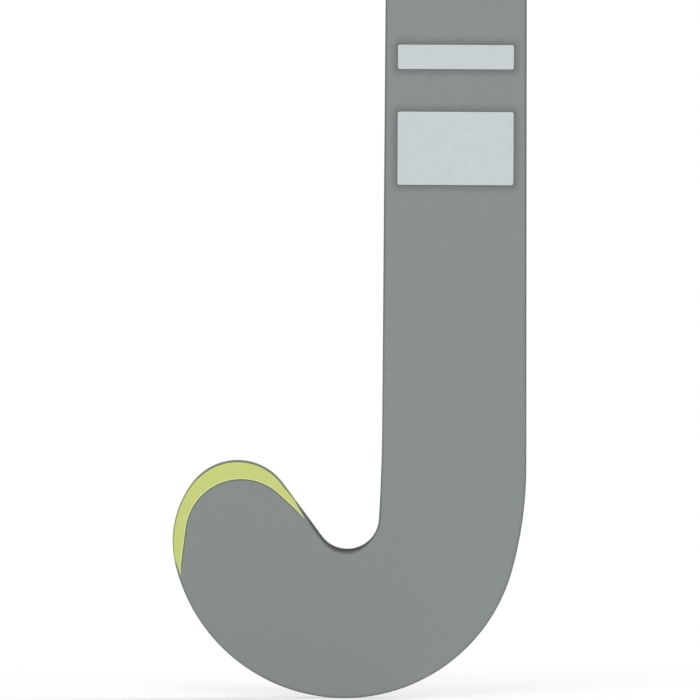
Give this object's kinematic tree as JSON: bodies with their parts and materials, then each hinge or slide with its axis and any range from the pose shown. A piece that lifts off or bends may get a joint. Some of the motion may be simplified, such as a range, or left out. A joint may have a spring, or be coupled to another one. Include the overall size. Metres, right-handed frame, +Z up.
{
  "type": "indoor hockey stick",
  "caption": "Indoor hockey stick with a flat playing face, a hooked head, a gently bowed shaft, an oval handle and a wound grip.",
  "frame": {"origin": "on the shaft's axis in the middle of the wound grip", "axes": "+Z up the shaft towards the butt cap, +Y from the playing face towards the rounded back, -X towards the toe"},
  "size_m": [0.1155, 0.0437, 0.9269],
  "materials": {
    "satin_paint": "satin grey paint over a carbon and glass composite shell",
    "carbon_laminate": "cured carbon laminate, semi-matt",
    "aramid_laminate": "cured aramid weave, semi-matt",
    "foam": "rigid polyurethane foam",
    "cap_rubber": "matt moulded rubber",
    "grip_strip": "tacky perforated polyurethane strip",
    "lime_tape": "soft matt tape",
    "lime_film": "satin printed film",
    "pale_film": "satin printed film"
  },
  "bodies": {
    "root": {"outer_laminate": "satin_paint", "toe_side_tube": "carbon_laminate", "heel_side_tube": "carbon_laminate", "head_core": "foam", "face_plies": "carbon_laminate", "back_plies": "carbon_laminate", "heel_patch": "aramid_laminate", "crook_patch": "carbon_laminate", "handle_plug": "foam", "butt_cap": "cap_rubber", "grip_wrap": "grip_strip", "grip_lower_tape": "lime_tape", "toe_accent": "lime_film", "shaft_band_wide": "pale_film", "shaft_band_narrow": "pale_film"}
  },
  "joints": []
}
